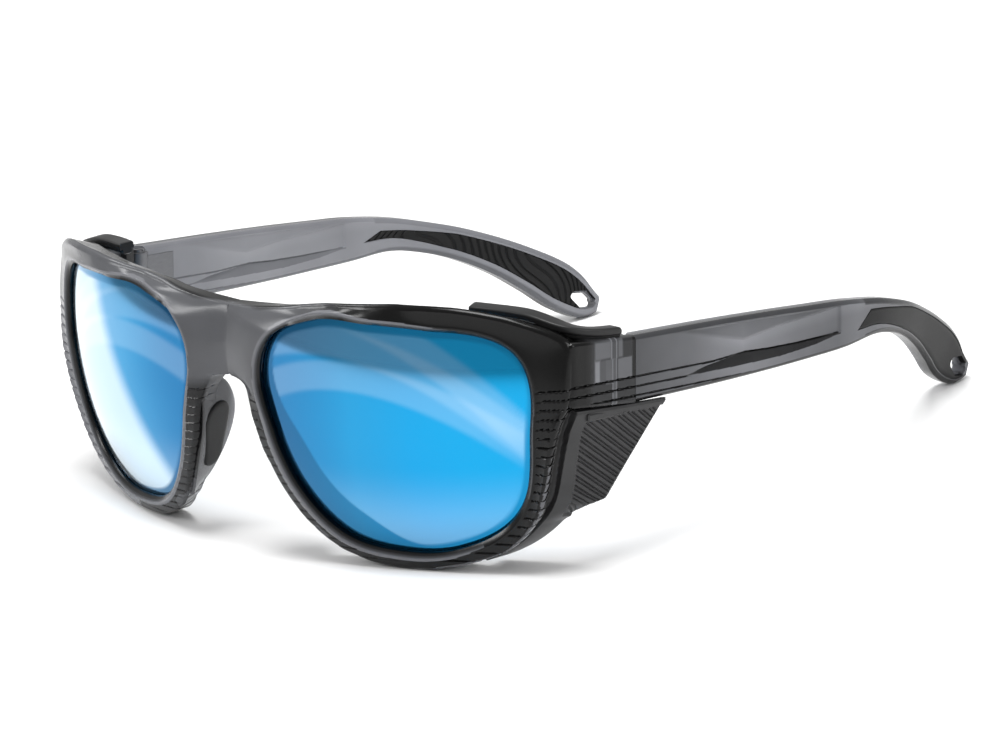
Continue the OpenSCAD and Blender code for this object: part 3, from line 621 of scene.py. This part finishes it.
def add_grain(tree, shader, grain, detail, patch, colours, gloss, height):
    """Object noise: wide patches between two colours, and a fine grain that sets roughness between
    the two values of gloss and a bump of the given strength. Returns the colour."""
    grain, patch = noise(tree, grain, detail), noise(tree, patch, 2)
    tree.links.new(spread(tree, grain, *gloss), shader.inputs["Roughness"])
    bump = node(tree, "Bump", {"Height": grain, "Strength": height, "Distance": 0.00004}).outputs[0]
    tree.links.new(bump, shader.inputs["Normal"])
    return blend_stops(tree, patch, list(zip((0.3, 0.7), colours)))


# 0.2 mm grain over 6 mm patches
colour = add_grain(tree, shader, 5000, 2, 160, ("#121213", "#191919"), (0.42, 0.56), 0.25)
tree.links.new(colour, shader.inputs["Base Color"])

for side in ("left", "right"):
    pad = make_mesh("nose_pad_inset_" + side, for_side(side, [pad_skin]))
    smooth_shade(pad, 40)
    pad.data.materials.append(soft_rubber)
    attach(pad, "front")
    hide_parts("nose_pad_" + side)

# Hinges: stainless leaves let into the plastic, with three knuckles on one slotted screw. These are
# the solids as made, stamped and tumbled, so they keep a dull brushed sheen.
steel, tree, shader = new_finish("tumbled_stainless_steel", Metallic=1)
where = node(tree, "TexCoord").outputs["Object"]
along = node(tree, "Mapping", {"Vector": where, "Scale": (9000, 900, 9000)}).outputs[0]
brush = node(tree, "TexNoise", {"Vector": along, "Scale": 1, "Detail": 3}).outputs[0]      # 0.1 mm scratches
tree.links.new(blend_stops(tree, brush, [(0.2, "#6c6d70"), (0.8, "#7c7d80")]), shader.inputs["Base Color"])
tree.links.new(spread(tree, brush, 0.42, 0.58), shader.inputs["Roughness"])
for side in ("left", "right"):
    for part in ("hinge_front_leaf_", "hinge_temple_leaf_", "hinge_screw_"):
        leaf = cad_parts[part + side]
        leaf.data.materials.clear()
        leaf.data.materials.append(steel)

# Temples: one moulding each of the same smoke nylon, flat at the hinge with shallow facets and
# grooves moulded into both faces, then thinning and curving down and in behind the ear.
# Stations from the seam: along, up, inward, height, width
STATIONS = np.array([
    (0, 0.1, 0, 12.3, 4.2), (19.8, 0.2, 0, 11.8, 4), (35, 0.3, 0.1, 11, 3.8), (46.9, 0.4, 0.2, 10, 3.8),
    (56.8, 0.5, 0.5, 9, 3.8), (66, 0.5, 1.6, 7.1, 3.8), (73, -0.54, 3.42, 6.5, 3.8),
    (80.7, -2.52, 6.3, 6.7, 3.8), (88.8, -5.76, 9.9, 7.6, 3.8), (95.9, -9.54, 12.96, 9, 3.8),
    (101.9, -13.32, 15.48, 10, 3.8), (106.95, -16.56, 17.1, 8, 3.6), (111, -18, 18, 4, 2.8)])
LAST = len(STATIONS) - 1


def station(t):
    """Size and place of the temple at station t, which may lie between two rows of the table."""
    i = np.minimum(np.floor(t).astype(int), LAST - 1)
    return cubic((t - i)[:, None], *(STATIONS[np.clip(i + k, 0, LAST)] for k in (-1, 0, 1, 2)))


def arm_frame(t):
    """Middle of the outside at station t and the outward and upward directions across it."""
    s = station(t)
    step = station(np.minimum(t + 0.1, LAST)) - station(np.maximum(np.minimum(t, LAST) - 0.1, 0))
    mid, d = (k[:, [2, 0, 1]] * [-1, 1, 1] for k in (s, step))
    d[t <= 0] = (0, 1, 0)
    d /= np.linalg.norm(d, axis=1, keepdims=True)
    up = np.stack([0 * t, -d[:, 2], d[:, 1]], -1)
    up /= np.linalg.norm(up, axis=1, keepdims=True)
    return s, mid, np.cross(d, up), up


def on_arm(t, inward, height):
    """Points in the face frame at station t, so far inward from the outside and above its middle."""
    _, mid, out, up = arm_frame(t)
    p = mid[:, None] - inward[..., None] * out[:, None] + height[..., None] * up[:, None]
    return seam_point(p[..., 0], p[..., 1], p[..., 2])


def relief_lines(u):
    """Heights along a temple of the diamond's peak, the main line and the dark band's top and bottom."""
    peak = np.interp(u, [2, 12.3, 28.1, 37.7, 51.2, 54.5], [5.6, 4.7, 1.5, 2.7, 3.7, 4.1])
    line = np.interp(u, [-1, 20, 28.6, 35, 43, 52, 54.5], [-1.2, -1.25, -0.7, -1, -1.05, -0.8, -0.7])
    band_top = np.interp(u, [13, 18.6, 28.6, 35, 43, 52, 54.5], [-2.9, -1.9, -0.75, -1, -1.05, -0.8, -0.7])
    band_low = np.interp(u, [0, 13, 27, 38, 47.5, 53.5], [-3, -2.95, -3, -2.8, -2, -1])
    return u, peak, line, band_top, band_low, 1 - ramp(u, 54.3, 55)


def relief(u, v):
    """Depth of the moulded facets and grooves below a temple's flat face, u along it and v up it."""
    u, peak, line, band_top, band_low, here = relief_lines(u)
    facet = 0.13 * np.maximum(v - peak, 0) * here
    panel = 0.5 * ramp(u, 16, 52) * here * ramp(v, line, line + 0.25) * (1 - ramp(v, peak, peak + 0.4))
    width = np.maximum(band_top - band_low, 0.01)
    t = np.clip((v - band_low) / width, 0, 1)
    band = 0.6 * t * ramp(width, 0.15, 1.2) * (1 - ramp(v, band_top - 0.05, band_top + 0.15)) * here
    lines = sum(groove(v - at, 0.42, 0.26) * (1 - ramp(u, fade, gone))
                for at, fade, gone in ((line, 50, 54.5), (-3, 12, 15), (-4.65, 34, 42)))
    return facet + panel + band + lines


def temple_rings():
    """Rings across the temple: outer face, bevelled underside, inner face, bevelled top."""
    t = np.concatenate([np.linspace(0, 1, 41)[:-1], np.linspace(1, 4, 101)[:-1], np.linspace(4, LAST, 150)])
    s = station(t)
    h, w, u = s[:, 3:4] / 2, s[:, 4:5], s[:, 0:1]
    b = 0.9
    face = np.linspace(0, 1, 112)[None, :]
    y = (h - b) - (2 * h - 2 * b) * face
    inset = relief(u, y + s[:, 1:2])
    edge = np.clip(np.minimum(face, 1 - face) * 30, 0, 1)
    x_out = inset * edge
    x_in = w - inset[:, ::-1] * 0.45 * edge
    corner = np.linspace(0.12, 0.88, 5)[None, :]
    bow = 0.14 * np.sin(np.pi * corner)
    low_x, low_y = b * corner - bow * 0.7, -(h - b) - b * corner - bow * 0.7
    low_x2, low_y2 = w - b + b * corner + bow * 0.7, -h + b * corner - bow * 0.7
    top_x2, top_y2 = w - b * corner + bow * 0.7, h - b + b * corner + bow * 0.7
    top_x, top_y = b - b * corner - bow * 0.7, h - b * corner + bow * 0.7
    x = np.concatenate([x_out + 0 * y, low_x + 0 * h, low_x2, x_in, top_x2, top_x + 0 * h], 1)
    yy = np.concatenate([y, low_y, low_y2, y[:, ::-1], top_y2, top_y], 1)
    return on_arm(t, x, yy)


def band_rings(face, gap, low_x, high_x, count=120, across=2, lines=None):
    """Slab along the temple's tip between the grip's lower and upper edge, from depth low_x to high_x."""
    k = np.linspace(0, 1, count)
    start, stop = 4.3, LAST - 0.35
    a = start + (stop - start) * k + np.where(k == 0, gap / 4, 0) - np.where(k == 1, gap / 4, 0)
    b = a + 0.47 * (1 - k)
    border = 1.1 + 0.8 * face + 1.4 * np.maximum(0, 1 - 3 * k)
    low = -station(a)[:, 3] / 2 + border + gap
    high = station(b)[:, 3] / 2 - border * 0.8 - gap
    width = face * station(a)[:, 4]
    f = np.linspace(0, 1, across)
    t = a[:, None] + (b - a)[:, None] * f
    height = low[:, None] + (high - low)[:, None] * f
    rings = []
    rounding = 0.22 * (1 - np.clip(np.minimum(f, 1 - f) * across / 3, 0, 1)) ** 2 if across > 8 else 0 * f
    for i in range(count):
        under = on_arm(t[i], np.full((across, 1), width[i] + low_x), height[i][:, None])[:, 0]
        sink = rounding + (lines(k[i], height[i]) if lines else 0)
        depth = width[i] + high_x + sink * (1 - 2 * face)
        over = on_arm(t[i], depth[:, None], height[i][:, None])[:, 0]
        rings.append(np.concatenate([under, over[::-1]]))
    return np.array(rings)


def eyelet_outline(grow):
    """Rounded rhombus."""
    return hull(64, [0.6 + grow] * 4, (2.6, 0), (-2.6, 0), (0, 1), (0, -1))


def by_eyelet(p):
    """From (along, up, through) at the eyelet to the face frame."""
    _, mid, out, up = arm_frame(np.array([11.1]))
    d = np.cross(up, out)
    q = mid[0] + p[:, :1] * d[0] + p[:, 1:2] * up[0] + p[:, 2:] * out[0]
    return seam_point(q[:, 0], q[:, 1], q[:, 2])


def temple_light_and_shade(p):
    """How dark the plastic is painted: pale in the middle, with painted shade along both bevels, in the
    slanted band and in the lines, and painted light that leaves the outer face darker than the inner one."""
    u, v = seam_uv(p)
    t = np.linspace(0, LAST, 600)
    s, mid, out, up = arm_frame(t)
    near = np.concatenate([np.argmin((part[:, :1] - s[:, 0]) ** 2 + (part[:, 1:] - s[:, 1]) ** 2, 1)
                           for part in np.array_split(np.stack([u, v], 1), 60)])
    offset = np.stack([np.abs(p[:, 0]) - SIDE_X, u, v], 1) - mid[near]
    height, inward = (offset * up[near]).sum(1), -(offset * out[near]).sum(1)
    half, outer = s[near, 3] / 2, inward < s[near, 4] / 2
    _, peak, line, band_top, band_low, here = relief_lines(u)
    tone = np.interp(u, [0, 12, 28, 42, 54, 60, 75], [0.5, 0.42, 0.28, 0.36, 0.42, 0.36, 0.42])
    # Painted light and shade on the facets above and below the diamond's peak
    tone = tone + 0.08 * ramp(v - peak, 0, 0.8) * here
    tone = tone - 0.08 * ramp(v - peak, -2.5, 0) * (v < peak) * ramp(u, 14, 28)
    tone = np.where((v < band_top) & (v > band_low) & (here > 0.5), 0.72, tone)
    for at, stop, dark in ((line, 54, 0.85), (-3, 13.5, 0.8), (-4.65, 38, 0.75)):
        tone = np.where((np.abs(v - at) < 0.16) & (u < stop), dark, tone)
    tone = np.where(height > half - 0.85, 0.62 - 0.25 * ramp(u, 50, 70), tone)
    tone = np.where(height < 0.85 - half, 0.84, tone)
    tone = np.where(u > 62, np.maximum(tone, 0.62 * ramp(half - np.abs(height), 1.6, 0.9)), tone)
    return np.where(outer, tone, 0.06 + 0.4 * tone)


arm_skin = skin(rest(temple_rings()))
temple_pocket = prism(box_outline(-16, -2.64, -0.5, 8.62), -4.36, 4.36, by_seam)
holes = [skin(rest(band_rings(0, 0, -6, 1.1))), skin(rest(band_rings(1, 0, -1.1, 6))),
         prism(eyelet_outline(0), -14, 14, by_eyelet), temple_pocket, bore]
for side in ("left", "right"):
    temple = make_mesh("temple_moulding_" + side, for_side(side, [arm_skin]))
    for hole in holes:
        cut(temple, "DIFFERENCE", make_mesh("tool", for_side(side, [hole])))
    smooth_shade(temple, 22)
    # Painted light and shade on the temple, written into the tone the nylon reads
    paint(temple, "thickness", temple_light_and_shade(points_of(temple)))
    temple.data.materials.append(smoke_nylon)
    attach(temple, side + "_temple")
    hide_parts("temple_" + side)

# Grips: bands of soft rubber moulded into both faces of each tip. The outer band is smooth, and the
# inner one has fine wavy contour lines that hold on hair and skin.
def contour_lines(k, height):
    """Fine cuts where along + 0.6 height is a whole number; along grows in waves, so that the lines
    cross the band in three places and run along it between them."""
    u = 66 * k
    along = 0.34 * u + 1.16 * math.sin(0.2244 * (u - 2))
    slope = math.hypot(0.34 + 0.26 * math.cos(0.2244 * (u - 2)), 0.6)
    t = np.abs((along + 0.6 * height + 0.2 * np.sin(height + 0.2 * u)) % 1 - 0.5) / slope
    return groove(t, 0.46, 0.28)


outer_skin = skin(rest(band_rings(0, 0.06, 1.04, -0.08, 160, 26)))
inner_skin = skin(rest(band_rings(1, 0.06, -1.04, 0.08, 480, 60, contour_lines)))
eyelet_tool = prism(eyelet_outline(0.5), -14, 14, by_eyelet)
for side in ("left", "right"):
    for name, shell in (("outer", outer_skin), ("inner", inner_skin)):
        grip = make_mesh("tip_grip_" + name + "_" + side, for_side(side, [shell]))
        cut(grip, "DIFFERENCE", make_mesh("tool", for_side(side, [eyelet_tool])))
        smooth_shade(grip, 32)
        grip.data.materials.append(soft_rubber)
        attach(grip, side + "_temple")
        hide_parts("grip_" + name + "_" + side)

# Side shields: black rubber wings moulded in one piece. A strap lies over the end piece, and the
# wing clips into the channel behind the rim, with a smooth flange round an inset ribbed panel.
STRAP = np.array([(-22.4, -16.5, 13.4), (-16.1, -14, 12.7), (-10.6, -13.3, 12.5), (-4.5, -11.6, 10.3),
                  (-2.5, -7.4, 8.4), (-2.1, -1.1, 6.95)])


def rim_out(a):
    """Reach of the rim's outer edge at clock angles a, as the source draws it."""
    width = round_clock([5.3, 12, 4.7, 3.5, 2.5, 4.6, 4.6, 4.6, 4.3, 3.5, 3.9, 3.5], a)
    r = round_clock(OPENING, a) + width
    corner = 33.6 / math.cos(WRAP) + 2.6
    line = (17.2 + 0.335 * corner) / (np.sin(a * DEG) + 0.335 * np.cos(a * DEG))
    return np.where((a > 0) & (a < 90), np.minimum(r, line), r)


def wing_grid():
    """Wing as rows that fan out from the rim's channel to the free edge: a smooth flange beside the rim,
    a narrow strip along the top, and an inset panel with slanted pairs of grooves."""
    q = np.linspace(0, 1, 250)[:, None]
    p = np.linspace(0, 1, 140)[None, :]
    turn = 6.6 + (-57 - 6.6) * q
    r = rim_out(turn)
    root = on_dome(r * np.cos(turn * DEG), r * np.sin(turn * DEG), -0.9)
    edge_r = r + 2.7 - 1.2 * (q - 0.6) / 0.4
    free = on_dome(edge_r * np.cos(turn * DEG), edge_r * np.sin(turn * DEG), 5.0)
    top = seam_point(0.3, 8.0, -6.25)
    corner = seam_point(-1.4, -6.2, -23.15)
    under = seam_point(-3, -8.0, -24.15)
    heel = free[np.argmin(np.abs(q[:, 0] - 0.6))]
    t = q[..., None]
    rear = np.where(t < 0.4, top + (corner - top) * t / 0.4,
                    np.where(t < 0.45, corner + (under - corner) * (t - 0.4) / 0.05,
                             np.where(t < 0.6, under + (heel - under) * (t - 0.45) / 0.15, free)))
    rear = np.stack([soften(rear[:, 0, k], 3) for k in range(3)], -1)[:, None, :]
    base = root + (rear - root) * p[..., None]
    base[..., 0] += 0.6 * (1 - q) * np.sin(np.pi * p)
    normal = np.cross(np.gradient(base, axis=1), np.gradient(base, axis=0))
    normal /= np.linalg.norm(normal, axis=-1, keepdims=True)
    normal *= np.sign(normal[..., :1])
    from_rim = np.cumsum(np.linalg.norm(np.diff(base, axis=1, prepend=base[:, :1]), axis=-1), 1)
    from_top = np.cumsum(np.linalg.norm(np.diff(base, axis=0, prepend=base[:1]), axis=-1), 0)
    last = np.searchsorted(q[:, 0], 0.585)
    from_low = np.maximum(from_top[last][None, :] - from_top, -5)
    u, v = seam_uv(base)
    sides = np.stack([from_rim - 4.3, from_top - 1.4, from_low - 1.1])
    inside = -np.log(np.exp(-sides * 1.3).sum(0)) / 1.3
    f = (u * math.sin(35 * DEG) + v * math.cos(35 * DEG)) / 1.5 % 1
    cuts = groove((f - 0.25) * 1.5, 0.3, 0.3) + groove((f - 0.64) * 1.5, 0.3, 0.3)
    tail = from_rim[:, -1:] - from_rim
    edge = 0.35 * (1 - ramp(tail, 0, 0.5)) + 0.35 * (1 - ramp(from_top, 0, 0.5))
    sunk = 0.5 * ramp(inside, -0.12, 0.12) + cuts * ramp(inside, 0.25, 0.45) * ramp(tail, 0.3, 0.6) + edge
    sunk = sunk + 1.24 * (1 - ramp(from_rim, 1.2, 1.6))
    inner = base - normal * (1.5 - edge)[..., None]
    return np.concatenate([base - normal * sunk[..., None], inner[:, ::-1]], 1)


def rounded_box(x0, x1, y0, y1, inset, arc, step):
    """Rectangle with round corners: an arc a corner, about the point inset from both its sides."""
    outline = []
    for cx, cy, start in ((x1 - inset, y1 - inset, 0), (x0 + inset, y1 - inset, 90),
                          (x0 + inset, y0 + inset, 180), (x1 - inset, y0 + inset, 270)):
        q = np.radians(start + np.arange(0, 91, step))
        outline.append(np.stack([cx + arc * np.cos(q), cy + arc * np.sin(q)], 1))
    return np.concatenate(outline)


def strap_rings(w, low, t):
    """Rounded rubber bar along the strap's way, w wide to each side, from low up to t, with round ends."""
    k = np.linspace(0, 5, 90)
    way = np.stack([soften(np.interp(k, range(6), STRAP[:, c]), 6) for c in range(3)], -1)
    way = way + [SIDE_X, SEAM_Y, SEAM_Z]
    d = np.gradient(way, axis=0)
    side = np.stack([d[:, 1], -d[:, 0], 0 * k], -1)
    side /= np.linalg.norm(side, axis=1, keepdims=True)
    length = np.cumsum(np.linalg.norm(d, axis=1))
    end = np.minimum(length, length[-1] - length) / 0.8
    round_off = np.sqrt(np.clip(1 - (1 - np.clip(end, 0.02, 1)) ** 2, 0, 1))
    c = 0.42
    outline = rounded_box(-w, w, low, t, c, c, 18)
    size = round_off[:, None]
    return (way[:, None] + side[:, None] * (outline[:, 0] * (0.7 + 0.3 * size))[..., None]
            + np.array([0, 0, 1.0]) * ((outline[:, 1] - t / 2) * size + t / 2)[..., None])


def soft_bar(x0, x1, u0, u1, v0, v1, rise=0.0):
    """Bar with rounded edges between two corners in the temple frame, its outer end raised by rise."""
    r = min(0.4, (u1 - u0) / 3, (v1 - v0) / 3)
    rings = []
    for f, shrink in ((0, r), (0.04, 0.1), (0.5, 0), (0.96, 0.1), (1, r)):
        outline = rounded_box(u0, u1, v0, v1, r, r - shrink * 0.9, 30) + [0, rise * f]
        rings.append(seam_point(x0 + (x1 - x0) * f, outline[:, 0], outline[:, 1]))
    return skin(rest(np.array(rings)))


# Black shield rubber: a firmer compound, satin from a polished mould.
shield_rubber, tree, shader = new_finish("satin_moulded_black_rubber", IOR=1.52, Specular_IOR_Level=0.32)
# 0.28 mm grain over 9 mm patches, and painted shade: almost black in the channel, darker on the strap
plain = add_grain(tree, shader, 3600, 3, 110, ("#2b2b2c", "#343435"), (0.34, 0.46), 0.18)
shade = {0: painted(tree, "shade"), 6: plain, 7: srgb("#070707")}
mixed = node(tree, "Mix", shade, data_type="RGBA").outputs[2]
tree.links.new(mixed, shader.inputs["Base Color"])
HOOK_X = -4.2 - 0.3 - 1.5
shield_parts = [skin(rest(wing_grid())), skin(rest(strap_rings(1.5, 0, 1.5))),
                skin(rest(strap_rings(0.9, -0.9, 1))),
                soft_bar(HOOK_X, HOOK_X + 1.5, -11.6, -8.8, -7.95, 7.6),
                soft_bar(HOOK_X, HOOK_X + 3.3, -11.6, -8.8, 6.95, 7.6, 0.75),
                soft_bar(HOOK_X, -0.4, -11.6, -2.6, -7.95, -6.45),
                soft_bar(HOOK_X, HOOK_X + 1.5, -5, -3, 3.5, 7.3),
                soft_bar(HOOK_X, HOOK_X + 3.3, -5, -3, 6.7, 7.3, 0.6)]
for side in ("left", "right"):
    shield = make_mesh("side_shield_wing_" + side, for_side(side, shield_parts[:1]))
    cut(shield, "UNION", *[make_mesh("tool", for_side(side, [part])) for part in shield_parts[1:]])
    smooth_shade(shield, 32)
    p = points_of(shield)
    turn = lens_clock(p)[1]
    turn = np.where(turn > 180, turn - 360, turn)
    root = on_dome(rim_out(turn) * np.cos(turn * DEG), rim_out(turn) * np.sin(turn * DEG), -0.9)
    to_root = np.linalg.norm(p * [1 if side == "left" else -1, 1, 1] - root, axis=1)
    strap = seam_uv(p)[1] > 0
    # Painted shade: black in the channel where the wing meets the rim, and darker over the strap
    paint(shield, "shade", np.maximum(1 - ramp(to_root, 1.3, 1.7), 0.6 * strap))
    shield.data.materials.append(shield_rubber)
    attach(shield, "front")
    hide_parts("side_shield_" + side)

# Stage: a white floor that runs out to a white surround, a large soft light above and two beside.
mesh = bpy.data.meshes.new("floor")
mesh.from_pydata([(-3, -3, 0), (3, -3, 0), (3, 3, 0), (-3, 3, 0)], [], [(0, 1, 2, 3)])
obj = bpy.data.objects.new("floor", mesh)
bpy.context.scene.collection.objects.link(obj)
paper, tree, shader = new_finish("white_paper_floor", Roughness=0.9, Specular_IOR_Level=0.1)
shader.inputs["Base Color"].default_value = srgb("#f4f4f4")
obj.data.materials.append(paper)

world = bpy.data.worlds.new("studio")
bpy.context.scene.world = world
world.use_nodes = True
tree = world.node_tree
tree.nodes.clear()
path = node(tree, "LightPath").outputs
light = node(tree, "Background", {"Color": srgb("#ffffff"), "Strength": 0.55})
white = node(tree, "Background", {"Color": srgb("#ffffff"), "Strength": 1.0})
both = node(tree, "MixShader", {0: path["Is Camera Ray"], 1: light.outputs[0], 2: white.outputs[0]})
node(tree, "OutputWorld", {"Surface": both.outputs[0]})


def soft_light(name, place, target, size, power):
    """Square area lamp aimed at a point."""
    data = bpy.data.lights.new(name, "AREA")
    data.shape, data.size, data.energy = "SQUARE", size, power
    lamp = bpy.data.objects.new(name, data)
    bpy.context.scene.collection.objects.link(lamp)
    lamp.location = place
    lamp.rotation_euler = (Vector(target) - Vector(place)).to_track_quat("-Z", "Y").to_euler()
    return lamp


soft_light("overhead", (0.1, -0.1, 0.9), (0, 0, 0.02), 0.4, 7)
soft_light("front_left", (-0.7, -0.7, 0.5), (0, 0, 0.02), 0.3, 3)
soft_light("side_right", (0.9, 0.2, 0.4), (0, 0, 0.02), 0.3, 2)
soft_light("crest", (-0.7, -0.12, 0.72), (0, -0.07, 0.04), 0.2, 1.2)
bpy.context.scene.view_settings.view_transform = "Standard"

# Camera: where the photograph was taken from, fitted to the rims, the brow and the temples
turn, tilt, roll = 47.68 * DEG, 18.27 * DEG, -8.23 * DEG
right = np.array([math.cos(turn), math.sin(turn), 0])
ahead = np.array([-math.sin(turn) * math.cos(tilt), math.cos(turn) * math.cos(tilt), -math.sin(tilt)])
up = np.cross(right, ahead)
axes = np.array([math.cos(roll) * right + math.sin(roll) * up, -math.sin(roll) * right + math.cos(roll) * up,
                 -ahead])
place = np.array([734.5, -603.9, 314.1])
lean = np.array([[1, 0, 0], [0, math.cos(LEAN), -math.sin(LEAN)], [0, math.sin(LEAN), math.cos(LEAN)]])
lens_camera = bpy.data.cameras.new("camera")
lens_camera.sensor_width = 36
lens_camera.lens = 5456.3 * 36 / 1000
lens_camera.clip_end = 20
camera = bpy.data.objects.new("camera", lens_camera)
bpy.context.scene.collection.objects.link(camera)
matrix = Matrix((lean @ axes.T).tolist()).to_4x4()
matrix.translation = Vector(rest(place))
camera.matrix_world = matrix
bpy.context.scene.camera = camera
